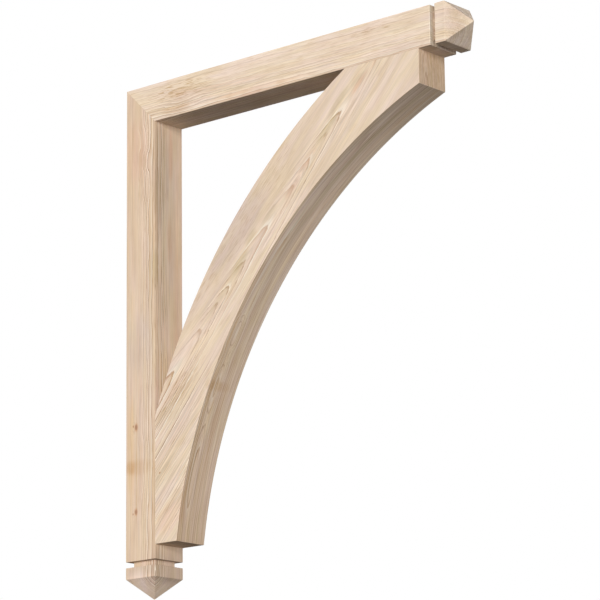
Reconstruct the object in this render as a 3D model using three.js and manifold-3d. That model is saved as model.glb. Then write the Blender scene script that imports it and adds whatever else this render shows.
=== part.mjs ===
// A wooden corbel bracket for the eaves of a house: an upright post that lies flat against the
// wall, an arm mitred to its head that carries the soffit, and a curved brace between the two.
// All three timbers have the same square section and lie flush on both sides.
// The free ends of the post and of the arm are carved: a ring groove all round, a square block
// and a four-sided point.
//
// Millimetres. X runs out from the wall, Y across the bracket and Z up. The origin is the centre
// of the post's flat back, which is the face fixed to the wall.
import * as THREE from "three";
import { mergeVertices } from "three/addons/utils/BufferGeometryUtils.js";
import Module from "manifold-3d";

const inch = 25.4;

// Overall sizes
const section = 3.5 * inch; // width across the wall, and the depth of the post and of the arm
const projection = 38 * inch; // from the wall to the tip of the arm
const height = 46 * inch; // from the soffit to the tip of the post

// The carved ends, the same on the post and the arm
const grooveWidth = 0.5 * inch;
const grooveDepth = 0.5 * inch;
const blockLength = 1 * inch;
const pointLength = section / 2; // so the four facets slope at 45 degrees
const carvedLength = grooveWidth + blockLength + pointLength;

// The brace. Its four corners stand on the post and the arm, and two arcs join them.
const endSetback = 1.25 * inch; // from each end of the brace to the groove beyond it
const footWidth = 2.5 * inch; // the brace's level foot, measured out from the post
const endHeight = 3 * inch; // the brace's upright end, measured down from the arm
const innerOnArm = 25.5 * inch; // from the wall to where the upper curve meets the arm
const innerOnPost = 30.25 * inch; // from the soffit down to where it meets the post
const innerRise = 75; // how far each arc bows away from its straight chord
const outerRise = 155;
const arcSteps = 32; // half the number of straight steps along each arc

const glueLine = 0.3; // between the mitred faces, and at the brace's two seats

const postBody = height - carvedLength; // the flat lengths that end at the grooves
const armBody = projection - carvedLength;
const top = postBody / 2;
const wood = { roughness: 0.75, metalness: 0 };

const wasm = await Module();
wasm.setup();

// A closed mesh as a manifold-3d solid, without the flat triangles at a lathe's poles.
function solidFrom(geometry) {
  const bare = geometry.clone();
  bare.deleteAttribute("normal");
  bare.deleteAttribute("uv");
  const merged = mergeVertices(bare, 1e-3);
  const corners = merged.index.array;
  const triangles = [];
  for (let i = 0; i < corners.length; i += 3) {
    const [a, b, c] = corners.slice(i, i + 3);
    if (a !== b && b !== c && c !== a) triangles.push(a, b, c);
  }
  return new wasm.Manifold(
    new wasm.Mesh({
      numProp: 3,
      vertProperties: merged.attributes.position.array,
      triVerts: new Uint32Array(triangles),
    }),
  );
}

function geometryFrom(solid) {
  const mesh = solid.getMesh();
  const geometry = new THREE.BufferGeometry();
  geometry.setAttribute("position", new THREE.BufferAttribute(mesh.vertProperties, 3));
  geometry.setIndex(new THREE.BufferAttribute(mesh.triVerts, 1));
  const flat = geometry.toNonIndexed();
  flat.computeVertexNormals();
  return flat;
}

// A square timber along +Y, as a four-sided lathe: a plain body from y = 0, then the groove, the
// block and the point.
function carvedTimber(bodyLength) {
  const corner = (half) => half * Math.SQRT2;
  const full = corner(section / 2);
  const neck = corner(section / 2 - grooveDepth);
  const blockStart = bodyLength + grooveWidth;
  const pointStart = blockStart + blockLength;
  const profile = [
    [0, 0],
    [full, 0],
    [full, bodyLength],
    [neck, bodyLength],
    [neck, blockStart],
    [full, blockStart],
    [full, pointStart],
    [0, pointStart + pointLength],
  ].map(([radius, along]) => new THREE.Vector2(radius, along));
  return new THREE.LatheGeometry(profile, 4, Math.PI / 4);
}

// The wedge that the 45 degree mitre takes off the start of a timber, which stays longest on its
// -X side. Half of the glue line comes off with the wedge.
function mitreWedge() {
  const reach = section; // past the timber on every side
  const cutAt = (x) => section / 2 + x + glueLine / Math.SQRT2;
  const wedge = new THREE.Shape([
    new THREE.Vector2(-reach, cutAt(-reach)),
    new THREE.Vector2(reach, cutAt(-reach)),
    new THREE.Vector2(reach, cutAt(reach)),
  ]);
  const solid = new THREE.ExtrudeGeometry(wedge, { depth: 2 * reach, bevelEnabled: false });
  return solid.translate(0, 0, -reach);
}

function mitredTimber(bodyLength) {
  const timber = solidFrom(carvedTimber(bodyLength));
  return geometryFrom(timber.subtract(solidFrom(mitreWedge())));
}

// The circle through two points whose arc bows by the given rise to the left of the way from the
// first point to the second.
function arcThrough(from, to, rise) {
  const chord = to.clone().sub(from);
  const left = new THREE.Vector2(-chord.y, chord.x).normalize();
  const half = chord.length() / 2;
  const radius = (half * half + rise * rise) / (2 * rise);
  const middle = from.clone().add(to).multiplyScalar(0.5);
  const centre = middle.addScaledVector(left, rise - radius);
  const angleTo = (point) => Math.atan2(point.y - centre.y, point.x - centre.x);
  return { centre, radius, start: angleTo(from), end: angleTo(to) };
}

// The brace's outline as seen from the side, with X out from the wall and Y up.
function braceOutline() {
  const postFace = section + glueLine;
  const armFace = top - section - glueLine;
  const innerTop = new THREE.Vector2(innerOnArm, armFace);
  const innerFoot = new THREE.Vector2(postFace, top - innerOnPost);
  const outerFoot = new THREE.Vector2(section + footWidth, endSetback - top);
  const outerTop = new THREE.Vector2(armBody - endSetback, top - section - endHeight);
  const inner = arcThrough(innerFoot, innerTop, innerRise);
  const outer = arcThrough(outerFoot, outerTop, outerRise);

  const outline = new THREE.Shape();
  outline.absarc(inner.centre.x, inner.centre.y, inner.radius, inner.end, inner.start, false);
  outline.lineTo(postFace, outerFoot.y);
  outline.absarc(outer.centre.x, outer.centre.y, outer.radius, outer.start, outer.end, true);
  outline.lineTo(outerTop.x, armFace);
  return outline;
}

function timberMesh(name, geometry, colour) {
  const material = new THREE.MeshStandardMaterial({ color: colour, ...wood });
  const mesh = new THREE.Mesh(geometry, material);
  mesh.name = name;
  return mesh;
}

// The post hangs down from the mitre, with its longest side against the wall.
const post = timberMesh("wall_post", mitredTimber(postBody), 0xdcc2a3);
post.position.set(section / 2, 0, top);
post.rotation.x = -Math.PI / 2;

// The arm runs out from the mitre, with its longest side up.
const arm = timberMesh("top_arm", mitredTimber(armBody), 0xe0c8ab);
arm.position.set(0, 0, top - section / 2);
arm.rotation.set(Math.PI / 2, 0, -Math.PI / 2);

const braceGeometry = new THREE.ExtrudeGeometry(braceOutline(), {
  depth: section,
  bevelEnabled: false,
  curveSegments: arcSteps,
});
const brace = timberMesh("curved_brace", braceGeometry, 0xe2c9ac);
brace.position.y = section / 2;
brace.rotation.x = Math.PI / 2;

const bracket = new THREE.Group();
bracket.name = "corbel_bracket";
bracket.add(post, arm, brace);

export default bracket;
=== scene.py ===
import math
from typing import NamedTuple

import bpy
from mathutils import Matrix, Vector


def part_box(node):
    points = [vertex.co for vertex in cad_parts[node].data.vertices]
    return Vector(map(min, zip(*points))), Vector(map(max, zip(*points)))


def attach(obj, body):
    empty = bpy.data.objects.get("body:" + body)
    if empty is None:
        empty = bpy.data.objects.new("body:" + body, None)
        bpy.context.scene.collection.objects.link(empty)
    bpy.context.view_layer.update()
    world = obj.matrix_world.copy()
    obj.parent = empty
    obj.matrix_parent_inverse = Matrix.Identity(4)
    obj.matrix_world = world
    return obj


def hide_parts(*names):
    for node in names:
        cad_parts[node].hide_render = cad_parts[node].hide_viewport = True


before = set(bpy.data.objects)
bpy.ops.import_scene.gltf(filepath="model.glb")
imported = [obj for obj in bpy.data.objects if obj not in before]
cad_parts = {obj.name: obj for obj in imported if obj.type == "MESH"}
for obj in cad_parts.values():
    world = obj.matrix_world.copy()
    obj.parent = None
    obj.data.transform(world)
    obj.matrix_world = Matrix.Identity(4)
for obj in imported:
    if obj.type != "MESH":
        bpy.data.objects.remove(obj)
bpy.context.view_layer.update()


# The wall post: one square softwood timber, planed, sanded and left bare, that lies flat on the wall.
# Its head is cut at 45 degrees for the mitre with the arm, and its foot is carved with a groove all
# round, a square block and a four-sided point.
post_low, post_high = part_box("wall_post")
arm_low, arm_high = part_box("top_arm")
SECTION = post_high.x - post_low.x
TOP = arm_high.z
GROOVE_WIDTH = 0.0127
GROOVE_DEPTH = 0.0127
BLOCK_LENGTH = 0.0254
POINT_LENGTH = SECTION / 2
CARVED_LENGTH = GROOVE_WIDTH + BLOCK_LENGTH + POINT_LENGTH
POST_BODY = TOP - post_low.z - CARVED_LENGTH
ARM_BODY = arm_high.x - CARVED_LENGTH
GLUE_LINE = 0.00005
TOUCHING = 0.00001  # corners nearer to each other than this are one
ARRIS = 0.0009  # how far the sandpaper has rounded a free edge
JOINT_ARRIS = 0.08  # share of that along the edges that close a joint
ARRIS_STEPS = 3
SHARPEST_CURVE = math.radians(20)  # a sharper edge than this is an arris
POST_GRAIN = math.radians(90)  # all grain angles are above the level, out from the wall


class Socket:
    """One output of a node. Arithmetic on it adds Math nodes to its tree."""

    def __init__(self, tree, output):
        self.tree = tree
        self.output = output

    def other(self, name):
        """Another output of the same node."""
        return Socket(self.tree, self.output.node.outputs[name])

    def maths(self, operation, *values):
        return self.tree.node("ShaderNodeMath", {"operation": operation}, dict(enumerate(values)))

    def __add__(self, other):
        return self.maths("ADD", self, other)

    def __sub__(self, other):
        return self.maths("SUBTRACT", self, other)

    def __rsub__(self, other):
        return self.maths("SUBTRACT", other, self)

    def __mul__(self, other):
        return self.maths("MULTIPLY", self, other)

    def __truediv__(self, other):
        return self.maths("DIVIDE", self, other)

    def __rtruediv__(self, other):
        return self.maths("DIVIDE", other, self)

    def __pow__(self, other):
        return self.maths("POWER", self, other)

    def __lt__(self, other):
        return self.maths("LESS_THAN", self, other)

    __radd__ = __add__
    __rmul__ = __mul__


class Tree:
    """A node tree in the making."""

    def __init__(self, node_tree):
        self.nodes = node_tree.nodes
        self.links = node_tree.links

    def node(self, kind, settings=None, values=None):
        """A node of that type. Its settings are made first, and then its sockets are filled or
        linked, by name or by number. Gives its first output that is in use."""
        made = self.nodes.new(kind)
        for name, value in (settings or {}).items():
            if name == "stops":
                fill_ramp(made.color_ramp, value)
            else:
                setattr(made, name, value)
        for name, value in (values or {}).items():
            usable = [s for s in made.inputs if s.enabled]
            socket = usable[name] if isinstance(name, int) else next(s for s in usable if s.name == name)
            if isinstance(value, Socket):
                self.links.new(value.output, socket)
            elif isinstance(value, list):
                for one in value:
                    self.links.new(one.output, socket)
            else:
                socket.default_value = value
        in_use = [s for s in made.outputs if s.enabled]
        return Socket(self, in_use[0]) if in_use else None


def fill_ramp(ramp, stops):
    while len(ramp.elements) < len(stops):
        ramp.elements.new(1.0)
    for element, (position, level) in zip(ramp.elements, stops):
        element.position = position
        element.color = (level, level, level, 1.0)


def new_shape_tree(name, inputs):
    """A Geometry Nodes tree with those inputs, as the group, the tree and its input sockets."""
    group = bpy.data.node_groups.new(name, "GeometryNodeTree")
    group.interface.new_socket("Geometry", in_out="OUTPUT", socket_type="NodeSocketGeometry")
    for label, kind in inputs.items():
        group.interface.new_socket(label, in_out="INPUT", socket_type=kind)
    tree = Tree(group)
    start = group.nodes.new("NodeGroupInput")
    return group, tree, {label: Socket(tree, start.outputs[label]) for label in inputs}


def close_shape_tree(tree, shape, turn, place, material):
    """Turns the shape, puts it in its place and gives it its material, which ends the tree."""
    placed = tree.node(
        "GeometryNodeTransform", None, {"Geometry": shape, "Rotation": turn, "Translation": place}
    )
    real = tree.node("GeometryNodeRealizeInstances", None, {"Geometry": placed})
    painted = tree.node("GeometryNodeSetMaterial", None, {"Geometry": real, "Material": material})
    tree.node("NodeGroupOutput", None, {"Geometry": painted})


def closed_solid(tree, face, stages):
    """Pushes a flat face out by each stage's length and scales its new end, closes the open back
    and joins what has met at a point."""
    solid = face
    end = True
    for length, scale in stages:
        solid = tree.node(
            "GeometryNodeExtrudeMesh",
            None,
            {"Mesh": solid, "Selection": end, "Offset Scale": length, "Individual": False},
        )
        end = solid.other("Top")
        solid = tree.node(
            "GeometryNodeScaleElements",
            {"domain": "FACE"},
            {"Geometry": solid, "Selection": end, "Scale": scale},
        )
    back = tree.node("GeometryNodeFlipFaces", None, {"Mesh": face})
    both = tree.node("GeometryNodeJoinGeometry", None, {"Geometry": [solid, back]})
    return tree.node("GeometryNodeMergeByDistance", None, {"Geometry": both, "Distance": TOUCHING})


def carved_timber_tree():
    """A square timber along +Z with the groove, the block and the point at its far end. Its start
    is sheared to 45 degrees for the mitre and stays longest on its -X side."""
    group, tree, given = new_shape_tree(
        "carved_timber",
        {
            "Section": "NodeSocketFloat",
            "Body Length": "NodeSocketFloat",
            "Groove Width": "NodeSocketFloat",
            "Groove Depth": "NodeSocketFloat",
            "Block Length": "NodeSocketFloat",
            "Glue Line": "NodeSocketFloat",
            "Turn": "NodeSocketVector",
            "Place": "NodeSocketVector",
            "Timber": "NodeSocketMaterial",
        },
    )
    section = given["Section"]
    square = tree.node(
        "GeometryNodeCurvePrimitiveQuadrilateral", None, {"Width": section, "Height": section}
    )
    face = tree.node("GeometryNodeFillCurve", {"mode": "NGONS"}, {"Curve": square})
    neck = 1 - 2 * given["Groove Depth"] / section
    stages = [
        (given["Body Length"], 1.0),
        (0.0, neck),
        (given["Groove Width"], 1.0),
        (0.0, 1 / neck),
        (given["Block Length"], 1.0),
        (section / 2, 0.0),
    ]
    timber = closed_solid(tree, face, stages)
    place = tree.node("GeometryNodeInputPosition")
    across = tree.node("ShaderNodeSeparateXYZ", None, {"Vector": place})
    at_start = across.other("Z") < TOUCHING
    shear = across + section / 2 + given["Glue Line"] * math.sqrt(0.5)
    pull = tree.node("ShaderNodeCombineXYZ", None, {"Z": shear})
    mitred = tree.node(
        "GeometryNodeSetPosition", None, {"Geometry": timber, "Selection": at_start, "Offset": pull}
    )
    close_shape_tree(tree, mitred, given["Turn"], given["Place"], given["Timber"])
    return group


def run_tree(group, name, values):
    """A plain mesh object made by one run of a Geometry Nodes tree."""
    piece = bpy.data.objects.new(name, bpy.data.meshes.new(name))
    bpy.context.scene.collection.objects.link(piece)
    modifier = piece.modifiers.new("Shape", "NODES")
    modifier.node_group = group
    for item in group.interface.items_tree:
        if item.in_out == "INPUT":
            modifier[item.identifier] = values[item.name]
    piece.update_tag()
    evaluated = piece.evaluated_get(bpy.context.evaluated_depsgraph_get())
    mesh = bpy.data.meshes.new_from_object(evaluated)
    piece.modifiers.remove(modifier)
    piece.data = mesh
    mesh.name = name
    return piece


def ease_arrises(piece, closes_joint):
    """Rounds every sharp edge as sandpaper does, and much less where it closes a joint."""
    mesh = piece.data
    weights = mesh.attributes.new("bevel_weight_edge", "FLOAT", "EDGE")
    beside = {}
    for face in mesh.polygons:
        for key in face.edge_keys:
            beside.setdefault(key, []).append(face.normal)
    for edge in mesh.edges:
        normals = beside[tuple(sorted(edge.vertices))]
        if normals[0].angle(normals[1]) < SHARPEST_CURVE:
            continue
        ends = [mesh.vertices[i].co for i in edge.vertices]
        weights.data[edge.index].value = JOINT_ARRIS if all(map(closes_joint, ends)) else 1.0
    mesh.shade_smooth()
    bevel = piece.modifiers.new("Arris", "BEVEL")
    bevel.limit_method = "WEIGHT"
    bevel.width = ARRIS
    bevel.segments = ARRIS_STEPS
    bevel.harden_normals = True


class Log(NamedTuple):
    """The log that a timber is sawn from: a point of its centre line, the width of a ring, how much
    nearer to the centre a ring comes for each metre along the grain, and how far it wanders."""

    pith: Vector
    ring: float
    taper: float
    waves: float


class Figure(NamedTuple):
    """A place where the rings show more, and how much more alike they are there."""

    point: Vector
    reach: tuple
    amount: float
    evenness: float = 0.0


class Stain(NamedTuple):
    """A place where the tint multiplies the wood's colour, by that amount."""

    point: Vector
    reach: tuple
    tint: tuple
    amount: float = 1.0


class Flecks(NamedTuple):
    """A place with more short dark dashes."""

    point: Vector
    reach: tuple
    amount: float


class Swell(NamedTuple):
    """A place where each ring lies nearer to the centre of the log, by the width of so many."""

    point: Vector
    reach: tuple
    rings: float


class Knot(NamedTuple):
    """A small round knot."""

    point: Vector
    size: float


class Pattern(NamedTuple):
    """Noise with those lengths along the grain, through the bracket and across the grain. Its
    number keeps it apart from the others."""

    lengths: tuple
    number: float
    detail: float = 2.0


class Rhythm(NamedTuple):
    """Noise from ring to ring, with so many waves to one ring."""

    waves: float
    shift: float = 0.0
    detail: float = 0.0


def rgba(colour):
    return (*colour, 1.0)


PATCH_CORE = 0.35  # share of a patch's reach over which it is full


class Wood(Tree):
    """The node tree of one timber's material, with patterns that follow its grain. Every reach is
    given along the grain, through the bracket and across the grain."""

    def __init__(self, name, grain, seed):
        self.material = bpy.data.materials.new(name)
        self.material.use_nodes = True
        super().__init__(self.material.node_tree)
        self.nodes.clear()
        self.grain = grain
        self.seed = seed
        self.place = self.node("ShaderNodeTexCoord").other("Object")

    def from_point(self, point, reach):
        """The place along the grain, through and across, counted from the point in steps of the
        reach."""
        return self.node(
            "ShaderNodeMapping",
            {"vector_type": "TEXTURE"},
            {"Vector": self.place, "Location": point, "Rotation": (0.0, -self.grain, 0.0), "Scale": reach},
        )

    def cloud(self, where, pattern):
        """The pattern's noise, about 0."""
        steps = tuple(1 / length for length in pattern.lengths)
        shift = (self.seed + pattern.number, self.seed - pattern.number, pattern.number)
        scaled = {0: where, 1: steps, 2: shift}
        spot = self.node("ShaderNodeVectorMath", {"operation": "MULTIPLY_ADD"}, scaled)
        values = {"Vector": spot, "Scale": 1.0, "Detail": pattern.detail}
        return self.node("ShaderNodeTexNoise", None, values) - 0.5

    def thread(self, count, rhythm):
        """The rhythm's noise, about 0, at that count of rings."""
        spot = count * rhythm.waves + rhythm.shift
        values = {"W": spot, "Scale": 1.0, "Detail": rhythm.detail}
        return self.node("ShaderNodeTexNoise", {"noise_dimensions": "1D"}, values) - 0.5

    def luck(self, number):
        """A chance value from 0 to 1 for each whole number."""
        return self.node("ShaderNodeTexWhiteNoise", {"noise_dimensions": "1D"}, {"W": number})

    def ramp(self, value, stops):
        return self.node("ShaderNodeValToRGB", {"stops": stops}, {"Fac": value})

    def level(self, value, start, end):
        """0 up to the start, 1 from the end on and a soft step between. The end may be the lower."""
        limits = {"Value": value, "From Min": start, "From Max": end}
        return self.node("ShaderNodeMapRange", {"interpolation_type": "SMOOTHSTEP"}, limits)

    def patch(self, point, reach):
        """1 around the point, fading to 0 at the reach."""
        apart = self.node("ShaderNodeVectorMath", {"operation": "LENGTH"}, {0: self.from_point(point, reach)})
        return self.level(apart, 1.0, PATCH_CORE)

    def around_knot(self, knot, sizes, depth):
        """A patch on a knot, so many knot sizes long and wide."""
        length, width = sizes
        return self.patch(knot.point, (length * knot.size, depth, width * knot.size))

    def mix(self, first, second, factor, blend="MIX"):
        settings = {"data_type": "RGBA", "blend_type": blend}
        return self.node("ShaderNodeMix", settings, {"A": first, "B": second, "Factor": factor})

    def tint(self, colour, tint, factor):
        """The colour multiplied by the tint, as far as the factor says."""
        return self.mix(colour, rgba(tint), factor, "MULTIPLY")


LONG_DRIFT = Pattern((0.50, 0.09, 0.09), 3.0)
LONG_DRIFT_WIDTH = 0.012
WAVES = Pattern((0.09, 0.03, 0.03), 5.0)
RAGGED_LINE = Pattern((0.06, 0.003, 0.003), 7.0)
RAGGED_LINE_WIDTH = 0.0024
UNEQUAL_RINGS = Rhythm(0.3)
UNEQUAL_BY = 2.2  # rings, by which the count runs early or late
KNOT_SWELL = 1.5  # rings, as the log bulges at a knot
KNOT_SWELL_SIZES = (6.0, 2.4)  # its reach along and across the grain, in knot sizes


def count_rings(wood, log, where, fibres, swells, knots):
    """How many rings lie between the centre of the log and each place of the timber."""
    along = wood.node("ShaderNodeSeparateXYZ", None, {"Vector": where})
    through = along.other("Y")
    wide = along.other("Z")
    radius = (through * through + wide * wide) ** 0.5
    drift = wood.cloud(where, LONG_DRIFT) * LONG_DRIFT_WIDTH
    drift = wood.cloud(where, WAVES) * log.waves + drift
    ragged = wood.cloud(fibres, RAGGED_LINE) * RAGGED_LINE_WIDTH
    count = (radius + along * log.taper + drift + ragged) / log.ring
    for swell in swells:
        count = wood.patch(swell.point, swell.reach) * swell.rings + count
    for knot in knots:
        count = wood.around_knot(knot, KNOT_SWELL_SIZES, SECTION) * KNOT_SWELL + count
    return count + wood.thread(count, UNEQUAL_RINGS) * UNEQUAL_BY


SPELL_WAVES = 0.23  # spells of strong and of weak years, in waves to one ring
SPELL_SPAN = (-0.2, 0.25)
SPELL_SHARE = 0.45
CHANCE_SHARE = 0.7
EVEN_STRENGTH = 0.5  # what the rings come nearer to where they are more alike


def ring_strength(wood, number, uneven, even):
    """How dark the late wood of each ring is, by chance and by spells of strong years."""
    spell = wood.level(wood.thread(number, Rhythm(SPELL_WAVES, wood.seed)), *SPELL_SPAN)
    strength = (wood.luck(number + wood.seed) * CHANCE_SHARE + spell * SPELL_SHARE) ** uneven
    return (EVEN_STRENGTH - strength) * even + strength


BANDS = Pattern((0.30, 0.030, 0.030), 11.0)
BAND_RHYTHM = Rhythm(0.45, 7.0)
BAND_SPAN = (-0.28, 0.28)
BLUSHES = Pattern((0.14, 0.022, 0.022), 13.0)
BLUSH_RHYTHM = Rhythm(0.55, 31.0)
BLUSH_STRIPES = 0.45
BLUSH_SPAN = (-0.22, 0.22)
HONEY = (0.99, 0.93, 0.81)
PINK = (1.00, 0.93, 0.92)


def ground_colour(wood, where, count, stripes, pale, deep):
    """The wood between the ring lines: pale or deep, and honey or pink, in clouds and stripes."""
    band = wood.cloud(where, BANDS) + wood.thread(count, BAND_RHYTHM) * stripes
    blush = wood.cloud(where, BLUSHES) + wood.thread(count, BLUSH_RHYTHM) * stripes * BLUSH_STRIPES
    colour = wood.mix(rgba(pale), rgba(deep), wood.level(band, *BAND_SPAN))
    hue = wood.mix(rgba(HONEY), rgba(PINK), wood.level(blush, *BLUSH_SPAN))
    return wood.mix(colour, hue, 1.0, "MULTIPLY")


STAIN_EDGE = Pattern((0.08, 0.02, 0.015), 31.0)
STAIN_EDGE_DEPTH = 1.6


def add_stains(wood, colour, where, stains):
    """The colour with its stains, whose edges are ragged along the grain."""
    ragged = wood.cloud(where, STAIN_EDGE) * STAIN_EDGE_DEPTH + 1
    for stain in stains:
        amount = wood.patch(stain.point, stain.reach) * ragged * stain.amount
        colour = wood.tint(colour, stain.tint, amount)
    return colour


MOTTLES = Pattern((0.050, 0.014, 0.011), 43.0)
MOTTLE_SPAN = (0.02, 0.15)
MOTTLE_STRIPES = 0.5
MOTTLE_LEAST = 0.05
DARK_MOTTLE = (0.87, 0.80, 0.72)
PALE_MOTTLE = (1.04, 1.06, 1.09)


def add_mottles(wood, colour, fibres, stripes):
    """Small soft clouds, darker or paler than the wood around them, and stronger in the figure."""
    start, end = MOTTLE_SPAN
    cloudy = wood.cloud(fibres, MOTTLES)
    amount = stripes * MOTTLE_STRIPES + MOTTLE_LEAST
    colour = wood.tint(colour, DARK_MOTTLE, wood.level(cloudy, start, end) * amount)
    return wood.tint(colour, PALE_MOTTLE, wood.level(cloudy, -start, -end) * amount)


KNOT_RIM_SIZES = (2.2, 1.3)
KNOT_CORE_SIZES = (1.4, 0.8)
KNOT_DEPTH = SECTION / 3
KNOT_RIM = (0.88, 0.72, 0.62)
KNOT_CORE = (0.40, 0.22, 0.13)


def add_knots(wood, colour, knots):
    """The colour with its knots, each a dark core in a reddish rim."""
    for knot in knots:
        rim = wood.around_knot(knot, KNOT_RIM_SIZES, KNOT_DEPTH)
        core = wood.around_knot(knot, KNOT_CORE_SIZES, KNOT_DEPTH)
        colour = wood.mix(wood.tint(colour, KNOT_RIM, rim), rgba(KNOT_CORE), core)
    return colour


LATE_WOOD = [(0.0, 0.2), (0.04, 0.0), (0.62, 0.0), (0.82, 0.25), (0.91, 1.0), (0.98, 1.0)]
EARLY_WOOD = [(0.0, 0.6), (0.08, 1.0), (0.16, 0.7), (0.28, 0.15), (0.45, 0.0)]
LATE = (0.52, 0.34, 0.20)  # what the late wood of a ring leaves of the light
LIT = (0.89, 0.79, 0.66)  # the first pale wood of the next ring
MOST_STRIPES = 0.6
DASHES = Pattern((0.030, 0.0017, 0.0017), 37.0, 1.0)
DASH_SPAN = (0.02, 0.13)
DASH_LEAST = 0.08
DASH = (0.70, 0.58, 0.42)
BENT_FIGURE = 0.60  # what a bend adds to the figure, to how alike the rings are and to the dashes
BENT_EVENNESS = 0.85
BENT_DASHES = 0.5
STREAKS = Pattern((0.18, 0.006, 0.006), 19.0, 1.0)
STREAK_DEPTH = 0.16
FIBRES = Pattern((0.09, 0.0022, 0.0022), 23.0, 1.0)
FIBRE_DEPTH = 0.34
HAIRS = Rhythm(4.0, detail=1.0)
HAIR_DEPTH = 0.22
FINE_IN_FIGURE = 0.8
FINE_LEAST = 0.45
END_CUT = (0.75, 0.75, 0.75)  # what the cut ends of the fibres leave of the light
ROUGHNESS = 0.66
ROUGHNESS_PLAY = 0.2
BUMP_STRENGTH = 0.25
FIBRE_RELIEF = 0.0002
LATE_RELIEF = 0.5  # share of that by which the late wood stands up


def bare_softwood(
    name,
    grain,
    seed,
    log,
    pale,
    deep,
    quiet,
    figures,
    stains,
    flecks,
    uneven=1.0,
    swells=(),
    knots=(),
    bend=None,
    end_cut=END_CUT,
):
    """Planed and sanded softwood with its grain at that angle. The rings show weakly, at the quiet
    strength, and more in the figures. The more uneven, the fewer of them stand out. A bend gives
    new places for the rings and for the fibres, and says where on the timber it does so."""
    wood = Wood(name, grain, seed)
    where = wood.from_point(log.pith, (1.0, 1.0, 1.0))
    fibres = where
    figure = quiet
    even = 0.0
    dashes = DASH_LEAST
    if bend:
        where, fibres, bent = bend(wood, where)
        figure = bent * BENT_FIGURE + figure
        even = bent * BENT_EVENNESS
        dashes = bent * BENT_DASHES + dashes
    for one in figures:
        here = wood.patch(one.point, one.reach)
        figure = here * one.amount + figure
        even = here * one.evenness + even
    for one in flecks:
        dashes = wood.patch(one.point, one.reach) * one.amount + dashes

    count = count_rings(wood, log, where, fibres, swells, knots)
    phase = count.maths("FRACT", count)
    number = count.maths("FLOOR", count)
    late = wood.ramp(phase, LATE_WOOD) * ring_strength(wood, number, uneven, even)
    early = wood.ramp(phase, EARLY_WOOD) * wood.luck(number + seed - 1.0) ** uneven

    stripes = figure.maths("MINIMUM", figure, MOST_STRIPES)
    colour = ground_colour(wood, where, count, stripes, pale, deep)
    colour = add_stains(wood, colour, where, stains)
    colour = add_mottles(wood, colour, fibres, stripes)
    colour = wood.tint(colour, LATE, late * figure)
    colour = wood.mix(colour, rgba(LIT), early * figure)
    dash = wood.level(wood.cloud(fibres, DASHES), *DASH_SPAN)
    colour = wood.tint(colour, DASH, dash * dashes)

    facing = wood.node("ShaderNodeTexCoord").other("Normal")
    axis = (math.cos(grain), 0.0, math.sin(grain))
    across_cut = wood.node("ShaderNodeVectorMath", {"operation": "DOT_PRODUCT"}, {0: facing, 1: axis})
    colour = wood.tint(colour, end_cut, across_cut * across_cut)

    streak = wood.cloud(fibres, STREAKS)
    fibre = wood.cloud(fibres, FIBRES)
    fine = fibre * FIBRE_DEPTH + wood.thread(count, HAIRS) * HAIR_DEPTH
    shade = 1 + streak * STREAK_DEPTH + fine * (figure * FINE_IN_FIGURE + FINE_LEAST)
    colour = wood.node("ShaderNodeVectorMath", {"operation": "SCALE"}, {"Vector": colour, "Scale": shade})
    colour = add_knots(wood, colour, knots)

    height = late * LATE_RELIEF + fibre
    relief = {"Strength": BUMP_STRENGTH, "Distance": FIBRE_RELIEF, "Height": height}
    bump = wood.node("ShaderNodeBump", None, relief)
    roughness = fibre * ROUGHNESS_PLAY + ROUGHNESS
    values = {"Base Color": colour, "Roughness": roughness, "Normal": bump, "IOR": 1.5}
    surface = wood.node("ShaderNodeBsdfPrincipled", None, values)
    wood.node("ShaderNodeOutputMaterial", None, {"Surface": surface})
    return wood.material


def point_at(out, across, down):
    """The point that far out from the wall, across from the middle and below the soffit."""
    return Vector((out, across, TOP - down))


def near_side(out, down):
    return point_at(out, -SECTION / 2, down)


def far_side(out, down):
    return point_at(out, SECTION / 2, down)


def post_front(across, down):
    """The point of the post's front that far from the near side and below the soffit."""
    return point_at(SECTION, across - SECTION / 2, down)


GREY = (0.92, 0.93, 0.96)
BROWN = (0.88, 0.80, 0.69)
OLIVE = (0.88, 0.88, 0.80)
RUST = (0.95, 0.84, 0.74)
COOL = (1.03, 1.05, 1.09)
POINT_SLOPES_PAINTED_LIGHT = (1.22, 1.25, 1.38)  # painted light: the slopes of the point made paler and cooler than the lamps leave them
FOOT_FRONT_PAINTED_SHADE = (0.80, 0.79, 0.80)  # painted shade on the front of the block and the point
BLOCK_SIDE = (0.93, 0.95, 1.00)

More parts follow.
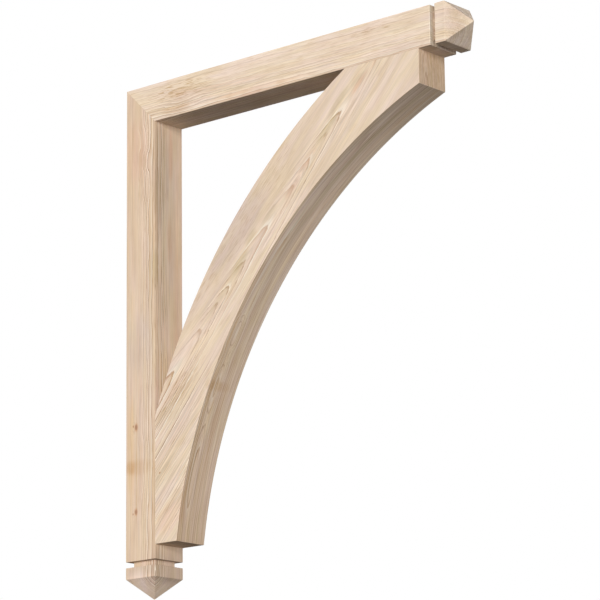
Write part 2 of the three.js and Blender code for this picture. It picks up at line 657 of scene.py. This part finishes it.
timber_sizes = {
    "Section": SECTION,
    "Groove Width": GROOVE_WIDTH,
    "Groove Depth": GROOVE_DEPTH,
    "Block Length": BLOCK_LENGTH,
    "Glue Line": GLUE_LINE,
}
carved_timber = carved_timber_tree()
post_wood = bare_softwood(
    "post_softwood",
    POST_GRAIN,
    seed=4.0,
    log=Log(pith=Vector((0.093, -0.046, 0.0)), ring=0.0078, taper=0.005, waves=0.010),
    pale=(0.77, 0.635, 0.505),
    deep=(0.685, 0.535, 0.40),
    quiet=0.2,
    figures=[
        Figure(near_side(0.078, 0.55), (1.5, 0.06, 0.046), 1.0, 0.3),
        Figure(near_side(0.060, 0.15), (0.12, 0.05, 0.03), 0.3),
        Figure(far_side(0.030, 0.50), (1.5, 0.03, 0.050), 0.3, 0.5),
    ],
    stains=[
        Stain(near_side(0.030, 0.15), (0.10, 0.06, 0.05), PINK),
        Stain(near_side(0.045, 0.60), (0.09, 0.08, 0.06), GREY),
        Stain(near_side(0.016, 0.83), (0.18, 0.02, 0.015), HONEY),
        Stain(near_side(0.038, 0.878), (0.024, 0.04, 0.07), BROWN, 0.6),
        Stain(near_side(0.012, 0.876), (0.020, 0.02, 0.024), BROWN, 0.6),
        Stain(near_side(0.032, 0.88), (0.20, 0.03, 0.0022), BROWN),
        # painted light on the slopes of the post's point
        Stain(near_side(0.044, 1.140), (0.04, 0.120, 0.06), POINT_SLOPES_PAINTED_LIGHT),
        # painted shade on the front of the post's block and point
        Stain(post_front(0.044, 1.105), (0.06, 0.140, 0.02), FOOT_FRONT_PAINTED_SHADE, 0.9),
        Stain(near_side(0.044, 1.110), (0.018, 0.02, 0.06), BLOCK_SIDE),
        Stain(near_side(0.045, 0.70), (0.25, 0.03, 0.08), COOL),
        Stain(post_front(0.013, 0.25), (0.07, 0.016, 0.03), OLIVE),
        Stain(post_front(0.004, 0.43), (0.06, 0.012, 0.03), OLIVE),
        Stain(post_front(0.030, 0.52), (0.05, 0.014, 0.03), OLIVE, 0.8),
        Stain(post_front(0.030, 0.68), (0.09, 0.020, 0.03), OLIVE, 0.6),
        Stain(post_front(0.052, 0.16), (0.09, 0.010, 0.03), RUST, 0.8),
        Stain(post_front(0.048, 0.36), (0.07, 0.012, 0.03), RUST, 0.5),
        Stain(post_front(0.080, 0.42), (0.50, 0.024, 0.03), (1.10, 1.06, 1.08)),
        Stain(post_front(0.045, 0.50), (0.45, 0.100, 0.03), (1.05, 1.08, 1.09)),
        Stain(post_front(0.020, 0.22), (0.16, 0.030, 0.03), (0.88, 0.87, 0.85)),
    ],
    flecks=[Flecks(near_side(0.050, 0.25), (0.10, 0.05, 0.02), 0.3)],
    swells=[
        Swell(near_side(0.050, 0.125), (0.040, 0.06, 0.022), 0.9),
        Swell(near_side(0.064, 0.178), (0.034, 0.06, 0.018), -0.7),
        Swell(near_side(0.056, 0.235), (0.050, 0.06, 0.022), 0.7),
        Swell(near_side(0.050, 0.878), (0.090, 0.06, 0.028), 0.9),
    ],
    knots=[
        Knot(near_side(0.031, 0.787), 0.0062),
        Knot(near_side(0.022, 0.784), 0.0020),
        Knot(near_side(0.031, 0.977), 0.0054),
        Knot(near_side(0.022, 0.981), 0.0018),
    ],
)
post = run_tree(
    carved_timber,
    "post_timber",
    {
        **timber_sizes,
        "Body Length": POST_BODY,
        "Turn": (math.pi, 0.0, 0.0),
        "Place": (SECTION / 2, 0.0, TOP),
        "Timber": post_wood,
    },
)


def in_mitre(point):
    return abs(point.x + point.z - TOP) < 2 * GLUE_LINE


ease_arrises(post, in_mitre)
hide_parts("wall_post")
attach(post, "root")


# The top arm: a timber of the same section and the same finish, level, with its long side up under
# the soffit. It is glued to the head of the post in a mitre, and its free end is carved as the
# post's foot is, pointing away from the wall.
ARM_GRAIN = 0.0
GROOVE_BOTTOM_PAINTED_SHADE = (0.45, 0.38, 0.33)  # painted shade at the bottom of the groove
GROOVE_WALL_PAINTED_LIGHT = (1.12, 1.20, 1.24)  # painted light on the groove's wall that faces the tip
arm_wood = bare_softwood(
    "arm_softwood",
    ARM_GRAIN,
    seed=9.0,
    log=Log(pith=point_at(0.0, -0.046, 0.093), ring=0.0072, taper=0.005, waves=0.010),
    pale=(0.865, 0.76, 0.65),
    deep=(0.765, 0.635, 0.505),
    quiet=0.35,
    figures=[
        Figure(near_side(0.45, 0.078), (1.2, 0.10, 0.034), 0.5, 0.3),
        Figure(near_side(0.12, 0.078), (0.30, 0.10, 0.034), 0.6, 0.3),
        Figure(far_side(0.45, 0.040), (1.2, 0.03, 0.050), 0.25, 0.5),
    ],
    stains=[
        Stain(near_side(0.165, 0.035), (0.06, 0.03, 0.014), BROWN, 0.8),
        Stain(near_side(0.15, 0.074), (0.06, 0.03, 0.014), BROWN, 0.8),
        Stain(near_side(0.14, 0.068), (0.07, 0.03, 0.025), (0.94, 0.93, 0.91)),
        # painted shade on the arm's underside
        Stain(point_at(0.5, 0.0, SECTION), (1.5, 0.16, 0.003), (0.90, 0.89, 0.88)),
        Stain(near_side(0.40, 0.080), (0.2, 0.03, 0.012), PINK),
        # painted shade on the near slopes of the arm's point
        Stain(point_at(0.938, -0.028, 0.044), (0.045, 0.030, 0.048), (0.86, 0.84, 0.82)),
        # painted shade at the bottom of the arm's groove, on its near side
        Stain(point_at(0.889, -0.031, 0.044), (0.012, 0.004, 0.120), GROOVE_BOTTOM_PAINTED_SHADE),
        # painted light on the wall of the arm's groove that faces the tip
        Stain(point_at(0.8827, -0.042, 0.044), (0.003, 0.009, 0.120), GROOVE_WALL_PAINTED_LIGHT),
    ],
    flecks=[
        Flecks(near_side(0.45, 0.040), (1.5, 0.20, 0.10), 0.2),
        Flecks(near_side(0.165, 0.032), (0.12, 0.03, 0.028), 1.0),
        Flecks(near_side(0.72, 0.02), (0.08, 0.03, 0.01), 0.6),
    ],
    swells=[Swell(near_side(0.178, 0.070), (0.080, 0.06, 0.024), 0.6)],
)
arm = run_tree(
    carved_timber,
    "arm_timber",
    {
        **timber_sizes,
        "Body Length": ARM_BODY,
        "Turn": (0.0, math.pi / 2, 0.0),
        "Place": (0.0, 0.0, TOP - SECTION / 2),
        "Timber": arm_wood,
    },
)
ease_arrises(arm, in_mitre)
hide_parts("top_arm")
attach(arm, "root")


# The curved brace: bandsawn from one wide board of the same softwood whose grain runs straight
# from foot to head, and glued flush between the post and the arm. Its upper side is convex, and
# its lower side is concave between a level foot and an upright end.
brace_low, brace_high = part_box("curved_brace")
FOOT_WIDTH = 0.0635
END_HEIGHT = 0.0762
UPPER_ON_ARM = 0.6477  # from the wall to where the upper side meets the arm
UPPER_ON_POST = 0.76835  # from the soffit down to where it meets the post
UPPER_RISE = 0.075
LOWER_RISE = 0.155
ARC_POINTS = 97
BRACE_GRAIN = math.radians(45.5)


def crown(foot, head, rise):
    """The middle of an arc that bows by the rise, up and towards the wall."""
    chord = head - foot
    outwards = Vector((-chord.y, chord.x, 0.0)).normalized()
    return (foot + head) / 2 + outwards * rise


def curved_brace_tree():
    """A board lying flat, with X out from the wall and Y up, cut to two arcs and four straight
    sides, as thick as it grows along +Z."""
    corners = ["Heel", "Upper Foot", "Upper Crown", "Upper Head", "Shoulder"]
    corners += ["Lower Head", "Lower Crown", "Lower Foot"]
    inputs = {corner: "NodeSocketVector" for corner in corners}
    inputs["Arc Points"] = "NodeSocketInt"
    inputs["Thickness"] = "NodeSocketFloat"
    inputs["Turn"] = "NodeSocketVector"
    inputs["Place"] = "NodeSocketVector"
    inputs["Timber"] = "NodeSocketMaterial"
    group, tree, given = new_shape_tree("curved_brace", inputs)

    def straight(start, end):
        return tree.node("GeometryNodeCurvePrimitiveLine", None, {"Start": given[start], "End": given[end]})

    def arc(side):
        return tree.node(
            "GeometryNodeCurveArc",
            {"mode": "POINTS"},
            {
                "Resolution": given["Arc Points"],
                "Start": given[side + " Foot"],
                "Middle": given[side + " Crown"],
                "End": given[side + " Head"],
            },
        )

    sides = [
        straight("Heel", "Upper Foot"),
        arc("Upper"),
        straight("Upper Head", "Shoulder"),
        straight("Shoulder", "Lower Head"),
        arc("Lower"),
        straight("Lower Foot", "Heel"),
    ]
    together = tree.node("GeometryNodeJoinGeometry", None, {"Geometry": sides})
    edges = tree.node("GeometryNodeCurveToMesh", None, {"Curve": together})
    closed = tree.node("GeometryNodeMergeByDistance", None, {"Geometry": edges, "Distance": TOUCHING})
    outline = tree.node("GeometryNodeMeshToCurve", None, {"Mesh": closed})
    face = tree.node("GeometryNodeFillCurve", {"mode": "NGONS"}, {"Curve": outline})
    board = closed_solid(tree, face, [(given["Thickness"], 1.0)])
    close_shape_tree(tree, board, given["Turn"], given["Place"], given["Timber"])
    return group


def circle_through(first, second, third):
    """The centre and the radius of the circle through three points of the XY plane."""
    line_1, line_2 = second - first, third - first
    half_1, half_2 = line_1.length_squared / 2, line_2.length_squared / 2
    twice_area = line_1.x * line_2.y - line_1.y * line_2.x
    x = (half_1 * line_2.y - half_2 * line_1.y) / twice_area
    y = (half_2 * line_1.x - half_1 * line_2.x) / twice_area
    return first + Vector((x, y, 0.0)), Vector((x, y)).length


heel = Vector((SECTION + GLUE_LINE, brace_low.z, 0.0))
shoulder = Vector((brace_high.x, TOP - SECTION - GLUE_LINE, 0.0))
upper_foot = Vector((heel.x, TOP - UPPER_ON_POST, 0.0))
upper_head = Vector((UPPER_ON_ARM, shoulder.y, 0.0))
upper_crown = crown(upper_foot, upper_head, UPPER_RISE)
lower_foot = Vector((SECTION + FOOT_WIDTH, heel.y, 0.0))
lower_head = Vector((shoulder.x, TOP - SECTION - END_HEIGHT, 0.0))
lower_crown = crown(lower_foot, lower_head, LOWER_RISE)
lower_centre, lower_radius = circle_through(lower_foot, lower_crown, lower_head)

SIDE_LAYER = 0.0004  # this much of each flat side keeps its straight grain
BENT_PITH_ACROSS = -0.021  # from the middle of the board to the centre of the log
BENT_PITH_DEPTH = 0.013  # from there up to the lower side
BENT_DEPTH_SHARE = 0.08  # of the depth into the board, so that the figure changes little with it
BENT_LENGTH_SHARE = 0.30  # of the length round the curve, so that the figure is drawn out along it
BENT_CLOSER = 1.4  # the rings are that much narrower there
EYE_DIP = 0.0100
EYES = [(164.6, 0.14), (154.5, 0.085), (148.0, 0.06)]  # degrees round the curve, and half length


def follow_lower_side(wood, where):
    """Everywhere but on the two flat sides, the figure runs along the curve of the lower side. The
    saw came nearest to the centre of the log in the middle of each eye."""
    at = wood.node("ShaderNodeSeparateXYZ", None, {"Vector": wood.place})
    through = at.other("Y")
    out = at - lower_centre.x
    up = at.other("Z") - lower_centre.y
    turn = out.maths("ARCTAN2", up, out)
    into_board = (out * out + up * up) ** 0.5 - lower_radius
    fibre_depth = into_board * BENT_DEPTH_SHARE + BENT_PITH_DEPTH
    ring_depth = fibre_depth
    for degrees, half_length in EYES:
        apart = (turn - math.radians(degrees)) * (lower_radius / half_length)
        ring_depth = ring_depth - wood.level(apart.maths("ABSOLUTE", apart), 1.0, 0.0) * EYE_DIP
    way = turn * (-lower_radius * BENT_LENGTH_SHARE)
    across = (through - BENT_PITH_ACROSS) * BENT_CLOSER
    inside = through.maths("ABSOLUTE", through) < SECTION / 2 - SIDE_LAYER

    def bent_to(depth):
        bent = {"X": way, "Y": across, "Z": depth * BENT_CLOSER}
        both = {"A": where, "B": wood.node("ShaderNodeCombineXYZ", None, bent), "Factor": inside}
        return wood.node("ShaderNodeMix", {"data_type": "VECTOR"}, both)

    return bent_to(ring_depth), bent_to(fibre_depth), inside


ROSE = (0.95, 0.86, 0.83)
BRACE_END_CUT = (0.58, 0.45, 0.30)  # browner than on the other two timbers
FLAMES = Vector((0.460, -SECTION / 2, 0.183))  # the middle of the flames on the near side
PITH_BEHIND_FLAMES = Vector((0.0, 0.017, 0.0))  # from there to the centre of the log
brace_wood = bare_softwood(
    "brace_softwood",
    BRACE_GRAIN,
    seed=14.0,
    log=Log(pith=FLAMES + PITH_BEHIND_FLAMES, ring=0.0072, taper=0.087, waves=0.005),
    pale=(0.805, 0.69, 0.575),
    deep=(0.725, 0.605, 0.485),
    quiet=0.12,
    uneven=2.0,
    figures=[
        Figure(FLAMES, (0.9, 0.30, 0.032), 0.75, 0.75),
        Figure(near_side(0.110, 0.86), (0.30, 0.03, 0.20), 1.3),
        Figure(near_side(0.400, 0.4629), (0.60, 0.03, 0.030), 0.5),
        Figure(near_side(0.720, 0.150), (0.20, 0.03, 0.050), 0.4),
    ],
    stains=[
        Stain(near_side(0.330, 0.39), (0.16, 0.06, 0.06), (0.90, 0.90, 0.95)),
        Stain(near_side(0.165, 0.72), (0.06, 0.06, 0.03), BROWN, 0.5),
        Stain(near_side(0.130, 1.00), (0.06, 0.06, 0.04), PINK),
        Stain(point_at(0.250, -0.020, 0.721), (0.016, 0.060, 0.016), BROWN, 0.7),
        Stain(near_side(0.216, 0.635), (0.12, 0.03, 0.07), (1.10, 1.11, 1.13)),
        Stain(near_side(0.483, 0.396), (0.12, 0.03, 0.03), (1.07, 1.08, 1.08)),
        Stain(near_side(0.628, 0.160), (0.050, 0.03, 0.013), OLIVE),
        Stain(near_side(0.599, 0.210), (0.060, 0.03, 0.013), OLIVE),
        Stain(near_side(0.688, 0.129), (0.045, 0.03, 0.010), ROSE),
        Stain(near_side(0.541, 0.271), (0.050, 0.03, 0.010), ROSE, 0.7),
        Stain(near_side(0.498, 0.324), (0.040, 0.03, 0.010), ROSE),
        Stain(near_side(0.429, 0.375), (0.045, 0.03, 0.012), OLIVE),
        Stain(near_side(0.374, 0.412), (0.030, 0.03, 0.012), OLIVE),
        Stain(near_side(0.344, 0.463), (0.045, 0.03, 0.012), OLIVE),
        Stain(point_at(0.70, -0.028, 0.2729), (0.35, 0.018, 0.20), (1.05, 1.06, 1.11)),
        Stain(point_at(0.25, -0.036, 0.7429), (0.55, 0.008, 0.35), BROWN, 0.75),
        Stain(point_at(0.25, -0.018, 0.7429), (0.55, 0.008, 0.35), (1.06, 1.06, 1.07)),
        Stain(point_at(0.25, 0.006, 0.7429), (0.50, 0.015, 0.35), BROWN, 0.5),
        Stain(point_at(0.60, -0.004, 0.3429), (0.40, 0.010, 0.30), OLIVE, 0.8),
        Stain(point_at(0.60, 0.022, 0.3429), (0.40, 0.018, 0.30), (1.13, 1.12, 1.08)),
    ],
    flecks=[
        Flecks(near_side(0.165, 0.72), (0.13, 0.06, 0.030), 0.55),
        Flecks(near_side(0.330, 0.39), (0.40, 0.03, 0.060), 0.4),
    ],
    knots=[Knot(near_side(0.103, 0.898), 0.0022)],
    bend=follow_lower_side,
    end_cut=BRACE_END_CUT,
)
brace = run_tree(
    curved_brace_tree(),
    "brace_timber",
    {
        "Heel": heel,
        "Upper Foot": upper_foot,
        "Upper Crown": upper_crown,
        "Upper Head": upper_head,
        "Shoulder": shoulder,
        "Lower Head": lower_head,
        "Lower Crown": lower_crown,
        "Lower Foot": lower_foot,
        "Arc Points": ARC_POINTS,
        "Thickness": SECTION,
        "Turn": (math.pi / 2, 0.0, 0.0),
        "Place": (0.0, SECTION / 2, 0.0),
        "Timber": brace_wood,
    },
)


def on_seat(point):
    return point.x < heel.x + GLUE_LINE or point.z > shoulder.y - GLUE_LINE


ease_arrises(brace, on_seat)
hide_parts("curved_brace")
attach(brace, "root")


# The floor, the lights and the camera. A plain pale floor lies far enough below for a camera that
# looks up at the bracket. The light is soft and white, strongest on the side that faces the camera.
FLOOR_LEVEL = -9.0
FLOOR_HALF = 60.0
FLOOR_COLOUR = (0.8, 0.8, 0.8)
FLOOR_ROUGHNESS = 0.9
floor_mesh = bpy.data.meshes.new("floor")
ways = ((-1, -1), (1, -1), (1, 1), (-1, 1))
floor_corners = [(x * FLOOR_HALF, y * FLOOR_HALF, FLOOR_LEVEL) for x, y in ways]
floor_mesh.from_pydata(floor_corners, [], [(0, 1, 2, 3)])
floor = bpy.data.objects.new("floor", floor_mesh)
bpy.context.scene.collection.objects.link(floor)
floor_paint = bpy.data.materials.new("pale_floor")
floor_paint.use_nodes = True
paint = floor_paint.node_tree.nodes["Principled BSDF"].inputs
paint["Base Color"].default_value = rgba(FLOOR_COLOUR)
paint["Roughness"].default_value = FLOOR_ROUGHNESS
floor_mesh.materials.append(floor_paint)
# The floor shows and takes shadows, and sends no light up to the bracket, which hangs far above it.
floor.visible_diffuse = False
floor.visible_glossy = False
floor.visible_shadow = False

SKY_LIGHT = 0.04
WHITE = (1.0, 1.0, 1.0)
world = bpy.data.worlds.new("white_studio")
bpy.context.scene.world = world
world.use_nodes = True
world.node_tree.nodes.clear()
studio = Tree(world.node_tree)
backdrop = studio.node("ShaderNodeBackground", None, {"Color": rgba(WHITE), "Strength": 1.0})
sky = studio.node("ShaderNodeBackground", None, {"Color": rgba(WHITE), "Strength": SKY_LIGHT})
seen = studio.node("ShaderNodeLightPath")
shown = studio.node("ShaderNodeMixShader", None, {0: seen, 1: sky, 2: backdrop})
studio.node("ShaderNodeOutputWorld", None, {"Surface": shown})


def soft_light(name, azimuth, elevation, strength, width):
    """Parallel soft light from that azimuth and elevation, in degrees, from a patch of sky so many
    degrees wide. Azimuth 0 is straight at the near side, and 90 is straight at the arm's tip."""
    data = bpy.data.lights.new(name, "SUN")
    data.energy = strength
    data.angle = math.radians(width)
    light = bpy.data.objects.new(name, data)
    turn, rise = math.radians(azimuth), math.radians(elevation)
    source = Vector((math.sin(turn) * math.cos(rise), -math.cos(turn) * math.cos(rise), math.sin(rise)))
    light.rotation_mode = "QUATERNION"
    light.rotation_quaternion = source.to_track_quat("Z", "Y")
    bpy.context.scene.collection.objects.link(light)


soft_light("front_corner_light", azimuth=30, elevation=4, strength=3.18, width=24)
soft_light("low_corner_light", azimuth=45, elevation=-20, strength=0.32, width=28)
soft_light("low_arm_tip_light", azimuth=90, elevation=-14, strength=0.52, width=28)
soft_light("far_side_light", azimuth=192, elevation=12, strength=1.9, width=50)
soft_light("wall_side_light", azimuth=270, elevation=50, strength=2.2, width=40)

CAMERA_PLACE = Vector((4.43043, -4.60306, -1.48415))
CAMERA_HEADING = math.radians(40.66)
CAMERA_RISE = math.radians(13.57)
CAMERA_ROLL = math.radians(-0.70)
CAMERA_LENS = 174.03  # mm, with a sensor of that width
SENSOR_WIDTH = 36.0
camera_data = bpy.data.cameras.new("photo_camera")
camera_data.lens = CAMERA_LENS
camera_data.sensor_width = SENSOR_WIDTH
camera_data.clip_end = 80.0
camera = bpy.data.objects.new("photo_camera", camera_data)
bpy.context.scene.collection.objects.link(camera)
camera.matrix_world = (
    Matrix.Translation(CAMERA_PLACE)
    @ Matrix.Rotation(CAMERA_HEADING, 4, "Z")
    @ Matrix.Rotation(math.pi / 2 + CAMERA_RISE, 4, "X")
    @ Matrix.Rotation(CAMERA_ROLL, 4, "Z")
)
bpy.context.scene.camera = camera
bpy.context.scene.view_settings.view_transform = "Standard"
